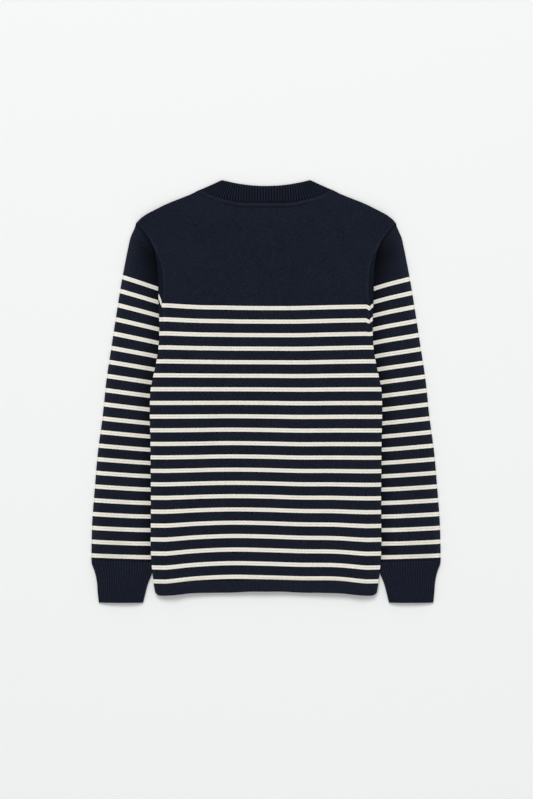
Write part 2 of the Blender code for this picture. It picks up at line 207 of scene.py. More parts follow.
# %% Light
KEY_POWER, KEY_SIZE, KEY_AT = 520.0, 4.2, (-1.2, 6.3, 7.8)
FILL_POWER, FILL_SIZE, FILL_AT = 8.4, 3.0, (0.6, -1.2, 3.0)
WORLD_STRENGTH = 0.535


def area_lamp(name, power, size, place):
    """A square lamp that faces the middle of the garment."""
    data = bpy.data.lights.new(name, "AREA")
    data.energy, data.size = power, size
    lamp = bpy.data.objects.new(name, data)
    lamp.location = place
    lamp.rotation_euler = (-lamp.location).to_track_quat("-Z", "Y").to_euler()
    bpy.context.scene.collection.objects.link(lamp)
    return lamp


area_lamp("key", KEY_POWER, KEY_SIZE, KEY_AT)
area_lamp("fill", FILL_POWER, FILL_SIZE, FILL_AT)
world = bpy.data.worlds.new("studio")
world.use_nodes = True
background = world.node_tree.nodes["Background"]
background.inputs["Color"].default_value = (1.0, 1.0, 1.0, 1.0)
background.inputs["Strength"].default_value = WORLD_STRENGTH
bpy.context.scene.world = world
bpy.context.scene.view_settings.view_transform = "Standard"

# %% [markdown]
# Plain knitting is rows of small V stitches. A row is a course and a column of stitches is a wale. Every
# piece carries a UV map in stitches: U counts wales and V counts courses, so the stitches and the stripes
# follow the cloth round its folds. The group below turns that into a height for the bump and a shade for
# the dark gaps between the yarns. It is one group, because the plain cloth and the ribs both use it.

# %% Node helpers and the stitch group
WALE = 1.7
COURSE = 1.9
STRIPE_COURSES = 12.0
V_LEAN = 1.1
YARN_ROUND = 0.6


def math_node(tree, operation, *values, clamp=False):
    """A Math node whose inputs are numbers or sockets. Returns its output socket."""
    node = tree.nodes.new("ShaderNodeMath")
    node.operation = operation
    node.use_clamp = clamp
    for socket, value in zip(node.inputs, values):
        if hasattr(value, "links"):
            tree.links.new(value, socket)
        else:
            socket.default_value = value
    return node.outputs[0]


def node_group(name, inputs, outputs):
    """An empty shader group with float sockets. inputs maps a name to its default value."""
    group = bpy.data.node_groups.new(name, "ShaderNodeTree")
    for key, value in inputs.items():
        group.interface.new_socket(key, in_out="INPUT", socket_type="NodeSocketFloat").default_value = value
    for key in outputs:
        group.interface.new_socket(key, in_out="OUTPUT", socket_type="NodeSocketFloat")
    return group, group.nodes.new("NodeGroupInput"), group.nodes.new("NodeGroupOutput")


def stitch_group():
    """Height = the round of each leg of the V times the round of its course; the V leans by the wale part."""
    group, given, made = node_group("knit_stitches", {"Wales": 0.0, "Courses": 0.0}, ("Height", "Gap"))
    wale_part = math_node(group, "FRACT", given.outputs["Wales"])
    from_middle = math_node(group, "ABSOLUTE", math_node(group, "SUBTRACT", wale_part, 0.5))
    lean = math_node(group, "MULTIPLY", from_middle, V_LEAN)
    leaning = math_node(group, "ADD", given.outputs["Courses"], lean)
    course_part = math_node(group, "FRACT", leaning)
    course_round = math_node(group, "SINE", math_node(group, "MULTIPLY", course_part, np.pi))
    leg_place = math_node(group, "SUBTRACT", from_middle, 0.25)
    leg_round = math_node(group, "COSINE", math_node(group, "MULTIPLY", leg_place, 2 * np.pi))
    rounded = math_node(group, "POWER", course_round, YARN_ROUND)
    height = math_node(group, "MULTIPLY", rounded, leg_round)
    group.links.new(height, made.inputs["Height"])
    gap = math_node(group, "SUBTRACT", 1.0, height, clamp=True)
    group.links.new(gap, made.inputs["Gap"])
    return group


STITCHES = stitch_group()
print("group:", STITCHES.name, "nodes:", len(STITCHES.nodes))

# %% [markdown]
# Washed cotton is never one flat navy: each yarn is a little lighter or darker, and the cloth fades in soft
# clouds. This second group adds both, as one number round 1 that multiplies a colour.

# %% Heather group
def heather_group():
    """Tone = 1 + fine noise of the yarn + slow clouds, both centred on 0 and scaled by the inputs."""
    inputs = {"Yarn": 0.2, "Clouds": 0.1, "Fine size": 520.0, "Cloud size": 38.0}
    group, given, made = node_group("heather", inputs, ("Tone", "Fuzz"))
    place = group.nodes.new("ShaderNodeTexCoord").outputs["Object"]
    tone = 1.0
    for scale, amount, detail in (("Fine size", "Yarn", 2.0), ("Cloud size", "Clouds", 4.0)):
        noise = group.nodes.new("ShaderNodeTexNoise")
        noise.inputs["Detail"].default_value = detail
        group.links.new(place, noise.inputs["Vector"])
        group.links.new(given.outputs[scale], noise.inputs["Scale"])
        centred = math_node(group, "SUBTRACT", noise.outputs["Fac"], 0.5)
        tone = math_node(group, "ADD", tone, math_node(group, "MULTIPLY", centred, given.outputs[amount]))
        if amount == "Yarn":
            group.links.new(noise.outputs["Fac"], made.inputs["Fuzz"])
    group.links.new(tone, made.inputs["Tone"])
    return group


HEATHER = heather_group()
print("group:", HEATHER.name, "nodes:", len(HEATHER.nodes))

# %% [markdown]
# The striped cloth. Twenty-one ecru stripes, nearly four courses each, repeat every twelve courses. The
# change of yarn follows the stitches, so the edge of a stripe is a tiny zigzag. A little painted shade
# darkens the line between the two middle courses of a stripe.

# %% Colours and stripes
NAVY = (0.0108, 0.0140, 0.0250, 1.0)
NAVY_RIB = (0.0144, 0.0183, 0.0325, 1.0)
ECRU = (0.962, 0.928, 0.825, 1.0)
STRIPES = 21
STRIPE_HALF_COURSES = 1.78
STRIPE_EDGE_LEAN = 0.5
STRIPE_LINE, LINE_NARROWNESS = 0.24, 2.2
EVEN_ON_ECRU = 0.75


def uv_stitches(tree):
    """The wale and course numbers of a point, from the piece's UV map."""
    uv = tree.nodes.new("ShaderNodeUVMap")
    uv.uv_map = "stitches"
    parts = tree.nodes.new("ShaderNodeSeparateXYZ")
    tree.links.new(uv.outputs["UV"], parts.inputs["Vector"])
    return parts.outputs["X"], parts.outputs["Y"]


def mix_colour(tree, factor, first, second):
    """A Mix node for colours. Each of the three can be a socket or a value."""
    node = tree.nodes.new("ShaderNodeMix")
    node.data_type = "RGBA"
    for socket, value in ((node.inputs[0], factor), (node.inputs[6], first), (node.inputs[7], second)):
        if hasattr(value, "links"):
            tree.links.new(value, socket)
        else:
            socket.default_value = value
    return node.outputs[2]


def scaled_colour(tree, colour, factor):
    """A colour times a number that changes over the surface."""
    node = tree.nodes.new("ShaderNodeVectorMath")
    node.operation = "SCALE"
    tree.links.new(colour, node.inputs[0])
    tree.links.new(factor, node.inputs["Scale"])
    return node.outputs[0]


def rib_painted_shade(tree, wales, depth):
    """Painted shade: 1 along the crest of a rib, in the middle of its wale, and darker by the depth in the
    valley.
    """
    turn = math_node(tree, "MULTIPLY", math_node(tree, "FRACT", wales), 2 * np.pi)
    valley = math_node(tree, "ADD", math_node(tree, "MULTIPLY", math_node(tree, "COSINE", turn), 0.5), 0.5)
    return math_node(tree, "SUBTRACT", 1.0, math_node(tree, "MULTIPLY", valley, depth))


def stripe_masks(tree, wales, courses):
    """1 on a stripe, and a factor of painted shade that darkens its middle line a little.

    The course is counted from the nearest stripe's middle and leans with the V of the stitch.
    """
    from_middle = math_node(tree, "SUBTRACT", math_node(tree, "FRACT", wales), 0.5)
    lean = math_node(tree, "MULTIPLY", math_node(tree, "ABSOLUTE", from_middle), STRIPE_EDGE_LEAN)
    leaning = math_node(tree, "ADD", courses, lean)
    number = math_node(tree, "DIVIDE", leaning, STRIPE_COURSES)
    nearest = math_node(tree, "ROUND", number)
    away = math_node(tree, "ABSOLUTE", math_node(tree, "SUBTRACT", number, nearest))
    away = math_node(tree, "MULTIPLY", away, STRIPE_COURSES)
    inside = math_node(tree, "LESS_THAN", away, STRIPE_HALF_COURSES)
    started = math_node(tree, "GREATER_THAN", nearest, -0.5)
    ended = math_node(tree, "LESS_THAN", nearest, STRIPES - 0.5)
    mask = math_node(tree, "MULTIPLY", inside, math_node(tree, "MULTIPLY", started, ended))
    away_from_line = math_node(tree, "MULTIPLY", away, LINE_NARROWNESS)
    near_middle = math_node(tree, "SUBTRACT", 1.0, away_from_line, clamp=True)
    darker = math_node(tree, "MULTIPLY", math_node(tree, "MULTIPLY", near_middle, mask), STRIPE_LINE)
    return mask, math_node(tree, "SUBTRACT", 1.0, darker)


print("stripes:", STRIPES)

# %% [markdown]
# The cloth itself: the colour of the yarn, uneven as real yarn is, with painted shade between the stitches
# and in creases, painted highlights on a few edges, folds and rib crests, and a bump for the stitches. Cotton
# has a soft sheen from its fuzz, and no gloss. The three knits differ only in a few numbers. The table is
# plain and matt.

# %% Cloth materials
BUMP_STRENGTH, FUZZ_HEIGHT = 0.8, 0.7
SHEEN, SHEEN_ROUGHNESS = 0.03, 0.5
CLOTH_ROUGHNESS, CLOTH_SPECULAR = 0.95, 0.05
TABLE_COLOUR = (0.925, 0.931, 0.932, 1.0)
TABLE_ROUGHNESS, TABLE_SPECULAR = 0.9, 0.1


def cloth_material(name, colour, gap_painted_shade, bump_depth, yarn, clouds, rib_shade):
    """Colour = yarn colour x heather tone x (1 - painted shade in the gaps between the stitches) x painted
    shade and highlight.

    rib_shade is the depth of the painted shade in the rib valleys; it is 0 on plain cloth, and there the
    stripes are drawn. The bump is the height of the stitches and a little fuzz.
    """
    material = bpy.data.materials.new(name)
    material.use_nodes = True
    tree = material.node_tree
    shader = tree.nodes["Principled BSDF"]
    wales, courses = uv_stitches(tree)
    stitches = tree.nodes.new("ShaderNodeGroup")
    stitches.node_tree = STITCHES
    tree.links.new(wales, stitches.inputs["Wales"])
    tree.links.new(courses, stitches.inputs["Courses"])
    heather = tree.nodes.new("ShaderNodeGroup")
    heather.node_tree = HEATHER
    heather.inputs["Yarn"].default_value = yarn
    heather.inputs["Clouds"].default_value = clouds
    base = tree.nodes.new("ShaderNodeRGB")
    base.outputs[0].default_value = colour
    cloth_colour = base.outputs[0]
    gap = math_node(tree, "MULTIPLY", stitches.outputs["Gap"], gap_painted_shade)
    tone = math_node(tree, "MULTIPLY", heather.outputs["Tone"], math_node(tree, "SUBTRACT", 1.0, gap))
    # Painted shade in creases and along seams, and painted highlights on some edges, folds and rib crests,
    # read from the shade attribute.
    fold_shade = tree.nodes.new("ShaderNodeAttribute")
    fold_shade.attribute_name = "shade"
    tone = math_node(tree, "MULTIPLY", tone, fold_shade.outputs["Fac"])
    if rib_shade:
        tone = math_node(tree, "MULTIPLY", tone, rib_painted_shade(tree, wales, rib_shade))
    else:
        mask, middle = stripe_masks(tree, wales, courses)
        cloth_colour = scaled_colour(tree, mix_colour(tree, mask, cloth_colour, ECRU), middle)
        # On the ecru stripes the painted shade and the heather are partly evened out.
        even = math_node(tree, "MULTIPLY", mask, EVEN_ON_ECRU)
        flatter = math_node(tree, "MULTIPLY", math_node(tree, "SUBTRACT", 1.0, tone), even)
        tone = math_node(tree, "ADD", tone, flatter)
    tree.links.new(scaled_colour(tree, cloth_colour, tone), shader.inputs["Base Color"])
    bump = tree.nodes.new("ShaderNodeBump")
    bump.inputs["Strength"].default_value = BUMP_STRENGTH
    bump.inputs["Distance"].default_value = bump_depth * MM
    fuzz = math_node(tree, "MULTIPLY", heather.outputs["Fuzz"], FUZZ_HEIGHT)
    tree.links.new(math_node(tree, "ADD", stitches.outputs["Height"], fuzz), bump.inputs["Height"])
    tree.links.new(bump.outputs["Normal"], shader.inputs["Normal"])
    shader.inputs["Roughness"].default_value = CLOTH_ROUGHNESS
    shader.inputs["Specular IOR Level"].default_value = CLOTH_SPECULAR
    shader.inputs["Sheen Weight"].default_value = SHEEN
    shader.inputs["Sheen Roughness"].default_value = SHEEN_ROUGHNESS
    return material


KNITS = {
    # name: colour, painted shade between the stitches, bump depth in millimetres, yarn, clouds, painted shade
    # in the rib valleys
    "striped_cloth": (NAVY, 0.14, 0.3, 1.9, 0.35, 0.0),
    "rib_cloth": (NAVY_RIB, 0.12, 0.4, 1.5, 0.3, 0.5),
    "band_cloth": (NAVY_RIB, 0.15, 0.4, 1.0, 0.3, 0.8),
}
STRIPED_KNIT, FINE_RIB_KNIT, BAND_KNIT = [cloth_material(name, *values) for name, values in KNITS.items()]
TABLE = bpy.data.materials.new("table")
TABLE.use_nodes = True
table_shader = TABLE.node_tree.nodes["Principled BSDF"]
table_shader.inputs["Base Color"].default_value = TABLE_COLOUR
table_shader.inputs["Roughness"].default_value = TABLE_ROUGHNESS
table_shader.inputs["Specular IOR Level"].default_value = TABLE_SPECULAR
floor.data.materials.append(TABLE)
print("materials:", [material.name for material in bpy.data.materials])

# %% [markdown]
# One helper turns two grids of points into a closed wall. A panel has an edge all round. A tube joins its
# last column to its first, and its UV runs on past that join, so the stitches aren't squeezed there.

# %% The wall builder
def cloth_wall(name, outside, inside, stitches, material, shade=None, tube=False):
    """Quads between neighbours on both grids, and a strip of quads between the grids along each free edge.

    shade is painted light at each point of the outer grid: 1 on open cloth, lower for painted shade in a
    crease, and higher for a painted highlight.
    """
    rows, columns = outside.shape[:2]
    points = np.concatenate([outside.reshape(-1, 3), inside.reshape(-1, 3)]) * MM
    outer = np.arange(rows * columns).reshape(rows, columns)
    if tube:
        outer = np.concatenate([outer, outer[:, :1]], axis=1)
    inner = outer + rows * columns
    place = np.arange(outer.size).reshape(outer.shape)

    def quads(grid_a, grid_b, corners):
        """Faces from two grids: a corner is (which grid, rows slice, columns slice)."""
        grids = (grid_a, grid_b)
        ids = [grids[which][rows_part, columns_part] for which, rows_part, columns_part in corners]
        uvs = [place[rows_part, columns_part] for _, rows_part, columns_part in corners]
        return np.stack(ids, -1).reshape(-1, 4), np.stack(uvs, -1).reshape(-1, 4)

    low, high = slice(None, -1), slice(1, None)
    first, last = 0, -1
    made = [
        quads(outer, inner, [(0, low, low), (0, low, high), (0, high, high), (0, high, low)]),
        quads(outer, inner, [(1, low, low), (1, high, low), (1, high, high), (1, low, high)]),
        quads(outer, inner, [(0, first, high), (0, first, low), (1, first, low), (1, first, high)]),
        quads(outer, inner, [(0, last, low), (0, last, high), (1, last, high), (1, last, low)]),
    ]
    if not tube:
        left_edge = [(0, low, first), (0, high, first), (1, high, first), (1, low, first)]
        right_edge = [(0, high, last), (0, low, last), (1, low, last), (1, high, last)]
        made = made + [quads(outer, inner, left_edge), quads(outer, inner, right_edge)]
    faces = np.concatenate([ids for ids, _ in made])
    corners = np.concatenate([uvs for _, uvs in made])
    mesh = bpy.data.meshes.new(name)
    mesh.from_pydata(points.tolist(), [], faces.tolist())
    uv_layer = mesh.uv_layers.new(name="stitches")
    uv_layer.data.foreach_set("uv", stitches.reshape(-1, 2)[corners.ravel()].astype(np.float32).ravel())
    shades = np.ones(len(points), np.float32)
    if shade is not None:
        shades[: rows * columns] = shade.ravel()
    mesh.attributes.new("shade", "FLOAT", "POINT").data.foreach_set("value", shades)
    mesh.materials.append(material)
    mesh.shade_smooth()
    piece = bpy.data.objects.new(name, mesh)
    bpy.context.scene.collection.objects.link(piece)
    print(name, "-", 2 * len(faces), "triangles")
    return piece

# %% [markdown]
# The sleeves are folded down beside the body, so the inner half of each lies hidden under it and lifts it a
# little. These functions say where the body's edge is, how far in the hidden sleeve reaches, and how much it
# lifts the cloth above. A short table says how the body's stripes wander, as they do in cloth laid by hand.

# %% Where the layers lie
SLEEVE_CLEARANCE = 0.4
LIFT_RAMP, LIFT_CLEAR = 30.0, 26.0
LIFT_TOP_Y, LIFT_FADE = 262.0, 46.0
BACK_NECK_POWER, FRONT_NECK_POWER = 3.0, 2.4
STRIPE_PITCH = 22.8
STRIPE_ACROSS = (-170.0, -120.0, -60.0, 0.0, 60.0, 120.0, 170.0)
STRIPE_HEIGHTS = np.array(
    [
        # number, height at each distance in STRIPE_ACROSS
        (0.0, 145.5, 142.5, 141.4, 140.8, 141.0, 142.4, 143.3),
        (3.0, 74.2, 73.0, 72.3, 72.1, 72.0, 73.1, 74.2),
        (6.0, 3.3, 3.3, 3.2, 3.0, 2.6, 3.0, 3.2),
        (10.0, -89.3, -88.7, -87.9, -88.6, -89.8, -89.5, -89.7),
        (14.0, -180.5, -178.9, -177.8, -178.4, -180.2, -180.5, -181.4),
        (17.0, -251.2, -247.5, -245.3, -246.0, -248.1, -249.0, -251.7),
        (20.0, -322.4, -317.3, -314.5, -315.2, -317.0, -317.5, -322.2),
    ]
)


def body_edge(height):
    return curve(BODY_EDGE, height)


def under_edge(height):
    """The sleeve's hidden edge: a straight line from the underarm to the cuff."""
    part = np.clip((height - CUFF_SEAM_Y) / (UNDERARM_Y - CUFF_SEAM_Y), 0.0, 1.0)
    return CUFF_SEAM_IN_X + (UNDERARM_X - CUFF_SEAM_IN_X) * part


def lift(across, height):
    """One stack of cloth, ramped in from the hidden edge and out again below the shoulder."""
    inward = (np.abs(across) - (under_edge(height) - LIFT_CLEAR - LIFT_RAMP)) / LIFT_RAMP
    return (STACK + SLEEVE_CLEARANCE) * smooth(inward) * smooth((LIFT_TOP_Y - height) / LIFT_FADE)


def neck_seam(across, lowest):
    """A curve that is flat at the middle of the neck and steep at its ends: a power of the distance."""
    power = BACK_NECK_POWER if lowest == BACK_NECK_Y else FRONT_NECK_POWER
    return lowest + (NECK_END_Y - lowest) * np.abs(across / NECK_END_X) ** power


def body_stripe(across, height):
    """Number of the stripe at a point of the body, 0 at the first, from the heights of seven of them."""
    lines = [curve(np.column_stack([STRIPE_ACROSS, row[1:]]), across) for row in STRIPE_HEIGHTS]
    number = (lines[0] - height) / STRIPE_PITCH
    for row, upper, next_row, lower in zip(STRIPE_HEIGHTS, lines, STRIPE_HEIGHTS[1:], lines[1:]):
        part = (upper - height) / (upper - lower)
        number = np.where(part > 0, row[0] + part * (next_row[0] - row[0]), number)
    return number


print("stripe at the middle of the chest:", round(float(body_stripe(0.0, 60.0)), 2))

# %% [markdown]
# The back and the front are knitted alike, and only their necks differ. A panel's grid runs from the hem to
# the shoulder, and its columns crowd together where the edge turns over. The layer function lays the grid on
# the sleeves and turns its edge round a small radius.

# %% Body layers
PANEL_MARGIN, HEM_MARGIN = 14.0, 4.5
EDGE_COLUMNS = 14
SHOULDER_LEAN = 0.68
TURN_STEPS = np.linspace(0.0, 90.0, 7)
TURNED = FOLD_MIDDLE * (1 - np.sin(np.radians(TURN_STEPS)))
NECK_PART = NECK_END_X / (TIP_X - PANEL_MARGIN)


def across_panel(half_width, neck_steps=52, side_steps=42):
    """Columns of a panel: even in the middle, one on each end of the neck, and close where the edge turns."""
    middle = [np.linspace(0.0, NECK_PART, neck_steps), np.linspace(NECK_PART, 1.0, side_steps)[1:]]
    middle = np.concatenate(middle) * (half_width - PANEL_MARGIN)
    near_edge = half_width - np.linspace(PANEL_MARGIN, FOLD_MIDDLE, EDGE_COLUMNS)[1:-1]
    right = np.concatenate([middle, near_edge, half_width - TURNED])
    return np.concatenate([-right[:0:-1], right])


def hem_seam(across):
    return curve(HEM, np.abs(across))


def fold_angles(distance, weight):
    """A quarter turn at the edge, none further in than the fold's radius."""
    return np.arcsin(np.clip(1.0 - distance / FOLD_MIDDLE, 0.0, 1.0)) * weight


def layer_walls(across, height, turn_x, turn_y, layer, crest, relief):
    """Outer and inner face: the middle surface plus and minus half the wall along its normal.

    layer is 1 for the upper panel and -1 for the lower one. crest stands up on the outer face alone.
    """
    middle = STACK / 2 + layer * (STACK - WALL) / 2 + lift(across, height) + relief
    surface = np.stack([across, height, middle], axis=-1)
    normal = np.cross(np.gradient(surface, axis=1), np.gradient(surface, axis=0))
    normal *= layer / np.maximum(np.linalg.norm(normal, axis=-1, keepdims=True), 1e-12)
    turn = np.maximum(turn_x, turn_y)
    side = np.sign(across)
    sideways = side * (turn_x + turn_y * (1 - SHOULDER_LEAN))
    outward = np.stack([sideways, SHOULDER_LEAN * turn_y, 0 * turn], -1)
    outward /= np.maximum(np.linalg.norm(outward, axis=-1, keepdims=True), 1e-9)
    surface[..., 2] -= layer * (FOLD_MIDDLE - SEAM_GAP / 2) * (1 - np.cos(turn))
    normal = normal * np.cos(turn)[..., None] + outward * np.sin(turn)[..., None]
    return surface + normal * (WALL / 2 + crest)[..., None], surface - normal * WALL / 2


print("columns across the body:", len(across_panel(TIP_X)))

# %% [markdown]
# The form and the shade of the upper panel. It is puffed up between its edges, runs in soft waves up from the
# hem, and has a ridge round the neck and a crease along each armhole. A line beside a seam is a soft bump,
# given by its size, its distance from the seam and its width. The painted shade has the same lines, where
# less light reaches the cloth, and a painted highlight runs along the body's open edge.

# %% Form and shade of the upper panel
BODY_FILL, FILL_REACH, FILL_FADE = 7.0, 16.0, 64.0
STRIP_WIDTH, STRIP_NARROWS = 8.6, 0.35
NECK_FORM = ((0.8, 3.6, 2.0), (-0.5, 8.4, 1.2))
ARMHOLE_FORM = ((0.7, -1.6, 1.6), (-1.1, 1.2, 1.6))
# Painted shade along the neck, the stitch line, the armhole and the turning strip; a negative size is a
# painted highlight.
NECK_PAINTED_SHADE = ((0.45, 0.3, 1.2), (-0.35, 3.6, 2.0))
STITCH_LINE_PAINTED_SHADE = ((0.45, 8.4, 1.3),)
ARMHOLE_PAINTED_SHADE = ((0.40, 1.4, 1.4), (-0.3, -1.8, 1.8))
HEAD_EDGE_PAINTED_SHADE = ((0.65, 0.9, 1.3), (-0.5, 4.2, 1.8))
STRIP_PAINTED_SHADE = 0.5
LIT_EDGE, LIT_EDGE_WIDTH = 0.2, 5.0
WAVE_RISES = (0.9, 0.5)


def ridges(distance, lines):
    """The sum of soft bumps, each with its size, its place and its width."""
    return sum(size * ridge(distance - place, width) for size, place, width in lines)


def seam_path(height):
    """How far out the armhole seam runs: at the shoulder on the body's edge, and lower it leaves a strip."""
    narrower = 1 - STRIP_NARROWS * smooth((170.0 - height) / 25.0)
    return body_edge(height) - STRIP_WIDTH * smooth((262.0 - height) / 66.0) * narrower


def seam_weight(height):
    """The armhole seam shows down to the underarm, and fades there."""
    return smooth((height - 92.0) / 36.0)


def neck_depth(across, height):
    """How far a point lies below the neck seam, with the little waver of a hand-guided stitch line."""
    return neck_seam(across, BACK_NECK_Y) - height + 0.6 * np.sin(across / 9.0) * np.sin(across / 31.0)


def body_relief(across, height, half_width):
    """Puff between the edges + soft waves from the hem + the neck seam's ridge + the armhole's crease."""
    away = np.abs(across)
    puff = BODY_FILL * (1 - np.exp(-np.clip(half_width - away, 0.0, None) / FILL_REACH))
    puff = puff * smooth((NECK_END_Y + 4.0 - height) / FILL_FADE)
    near_hem = smooth((60.0 - height) / 380.0)
    waves = WAVE_RISES[0] * near_hem * np.cos(across / 21.0 + 0.9 * np.sin(height / 90.0))
    waves = waves + WAVE_RISES[1] * near_hem * np.cos(across / 55.0 + height / 130.0 + 1.0)
    waves = waves * smooth((half_width - away) / 40.0)
    neck_ridge = ridges(neck_depth(across, height), NECK_FORM) * smooth((92.0 - away) / 22.0)
    armhole = ridges(away - seam_path(height), ARMHOLE_FORM) * seam_weight(height)
    return puff + waves + neck_ridge + armhole


def body_shade(across, height):
    """Painted shade along the seams and in the strip that turns under, and a painted highlight on the body's
    open edge.
    """
    away = np.abs(across)
    below = neck_depth(across, height)
    from_seam = away - seam_path(height)
    to_edge = body_edge(height) - away
    strip = smooth(from_seam / STRIP_WIDTH) * smooth((height - 128.0) / 30.0)
    neck = ridges(below, NECK_PAINTED_SHADE) + ridges(below, STITCH_LINE_PAINTED_SHADE) * smooth((84.0 - away) / 20.0)
    armhole = ridges(from_seam, ARMHOLE_PAINTED_SHADE) * smooth(from_seam + to_edge)
    armhole = armhole + ridges(to_edge, HEAD_EDGE_PAINTED_SHADE) * smooth((height - 226.0) / 22.0)
    lit_edge = LIT_EDGE * ridge(to_edge, LIT_EDGE_WIDTH) * smooth((130.0 - height) / 20.0)
    return 1.0 - neck - armhole * seam_weight(height) - STRIP_PAINTED_SHADE * strip + lit_edge


print("strip beside the armhole at the underarm:", round(float(body_edge(146.0) - seam_path(146.0)), 1), "mm")

# %% [markdown]
# The panels themselves. Beside each underarm the photograph shows a narrow strip, between the armhole seam
# and the edge, where the first stripe climbs or turns before it goes under. The strip's course numbers are
# shifted to draw that.

# %% Back and front
BODY_ROWS, FRONT_ROWS = 172, 70
TOP_BAND = 16.0
TURN_TOP_Y, TURN_FADE = 224.0, 24.0
FIRST_WALE = 400.0
CLIMB = 0.74
TICK_DIP, TICK_RISE = 0.14, 0.28


def underarm_shift(across, height, number):
    """Past the armhole seam the first stripe climbs on the left. On the right two dip and turn up."""
    from_seam = np.abs(across) - seam_path(height)
    past_seam = np.clip(from_seam / (body_edge(height) - seam_path(height) + 0.01), 0.0, 1.0)
    climb = CLIMB * past_seam * (1 - smooth((number + 0.8) / 1.6))
    tick = TICK_RISE * past_seam - TICK_DIP * smooth(1 + from_seam / 6.0)
    return np.where(across < 0, climb, tick * ridge(number - 0.5, 1.1))


def panel(name, layer, lowest, rows):
    """Plan: height = hem + part x (top - hem) for each column; then the two faces of the wall."""
    below_top = np.linspace(HEM_SIDE_Y, TIP_Y - TOP_BAND, rows)[:-1]
    near_top = np.linspace(TIP_Y - TOP_BAND, TIP_Y - FOLD_MIDDLE, rows // 8)[:-1]
    heights = np.concatenate([below_top, near_top, TIP_Y - TURNED])
    across = np.stack([across_panel(body_edge(height)) for height in heights])
    top_across = across_panel(TIP_X)
    in_neck = np.abs(top_across) <= NECK_END_X + 0.01
    top = np.where(in_neck, neck_seam(top_across, lowest), curve(SHOULDER, np.abs(top_across)))
    bottom = hem_seam(across) + SEAM_GAP / 2
    part = ((heights - heights[0]) / (TIP_Y - heights[0]))[:, None]
    height = bottom + part * (top - bottom)
    half_width = across.max(axis=1, keepdims=True)
    turn_x = fold_angles(half_width - np.abs(across), smooth((TURN_TOP_Y - height) / TURN_FADE))
    turn_y = fold_angles(top - height, smooth((np.abs(across) - NECK_END_X) / 12.0))
    flat = np.zeros(across.shape)
    relief = body_relief(across, height, half_width) if layer > 0 else flat
    outside, inside = layer_walls(across, height, turn_x, turn_y, layer, flat, relief)
    number = body_stripe(across, height)
    shade = None
    if layer > 0:
        number = number + underarm_shift(across, height, number)
        shade = body_shade(across, height)
    stitches = np.stack([across / WALE + FIRST_WALE, number * STRIPE_COURSES], axis=-1)
    if layer < 0:
        outside, inside, stitches = outside[:, ::-1], inside[:, ::-1], stitches[:, ::-1]
    return cloth_wall(name, outside, inside, stitches, STRIPED_KNIT, shade)


back = panel("back_cloth", 1, BACK_NECK_Y, BODY_ROWS)
front = panel("front_cloth", -1, FRONT_NECK_Y, FRONT_ROWS)

# %% [markdown]
# The hem is a narrow one-and-one rib. Its ribs are real waves of the outer face over a plain inside, about
# 3.3 mm apart, with the same folded edges as the panel above it, and its corners are rounded. Painted shade
# darkens the valleys of its ribs and a painted highlight lightens their crests.

# %% Hem ribs
HEM_RIBS, HEM_RIB_RISE = 112, 0.85
HEM_VALLEY_SHADE, HEM_CREST_SHADE = 0.93, 1.24
HEM_CORNER, HEM_EDGE_DROP = 5.5, 0.5
HEM_DEPTH = 19.0


def rib_wave(phase):
    """A rounded rib with a narrow valley: the square root of a half cosine."""
    return np.sqrt(0.5 + 0.5 * np.cos(2 * np.pi * phase))


def hem_rib(name, layer, points_per_rib, rows):
    """Rows from the panel's seam to the hem's edge, straight between the two, with a wave for each rib."""
    part = np.linspace(0.0, 1.0, rows)[::-1, None]
    middle = np.linspace(-1.0, 1.0, points_per_rib * HEM_RIBS + 1)
    top_half, edge_half = body_edge(HEM_SIDE_Y), body_edge(HEM_SIDE_Y - HEM_DEPTH)
    half = (top_half + (edge_half - top_half) * part[:, 0])[:, None]
    side = half - TURNED
    across = np.concatenate([-side[:, ::-1], middle * (half - HEM_MARGIN), side], axis=1)
    seam = hem_seam(across) - SEAM_GAP / 2
    half_width = across.max(axis=1, keepdims=True)
    corner = np.clip((np.abs(across) - half_width) / HEM_CORNER + 1.0, 0.0, 1.0)
    edge = curve(HEM, np.abs(across), column=2) + HEM_CORNER * (1 - np.sqrt(1 - corner**2))
    height = seam + (edge - seam) * part
    phase = (across / (half_width - HEM_MARGIN) + 1.0) * HEM_RIBS / 2
    edge_round = -HEM_EDGE_DROP * ridge((1 - part) * 20.0, 1.2)
    flat = np.zeros(across.shape)
    crest = HEM_RIB_RISE * rib_wave(phase) * smooth((1 - part) * 12.0) if layer > 0 else flat
    relief = body_relief(across, height, half_width) + edge_round if layer > 0 else flat
    turn_x = fold_angles(half_width - np.abs(across), 1.0)
    outside, inside = layer_walls(across, height, turn_x, flat, layer, crest, relief)
    stitches = np.stack([phase + 0.5, (seam - height) / COURSE], axis=-1)
    if layer < 0:
        outside, inside, stitches = outside[:, ::-1], inside[:, ::-1], stitches[:, ::-1]
    # Painted light on the hem's ribs: painted shade in the valleys and a painted highlight on the crests.
    painted_rib_light = HEM_VALLEY_SHADE + (HEM_CREST_SHADE - HEM_VALLEY_SHADE) * rib_wave(phase)
    return cloth_wall(name, outside, inside, stitches, FINE_RIB_KNIT, painted_rib_light)


hem_back = hem_rib("hem_back_cloth", 1, points_per_rib=8, rows=10)
hem_front = hem_rib("hem_front_cloth", -1, points_per_rib=2, rows=4)

# %% [markdown]
# Sleeves, cuffs and the neckband are tubes that lie pressed flat. Each row of a tube goes over an upper line
# of points, round a half circle at the fold, back along a lower line and round the other fold.

# %% A tube pressed flat
HALF_TURN = np.radians(np.linspace(72.0, -72.0, 9))


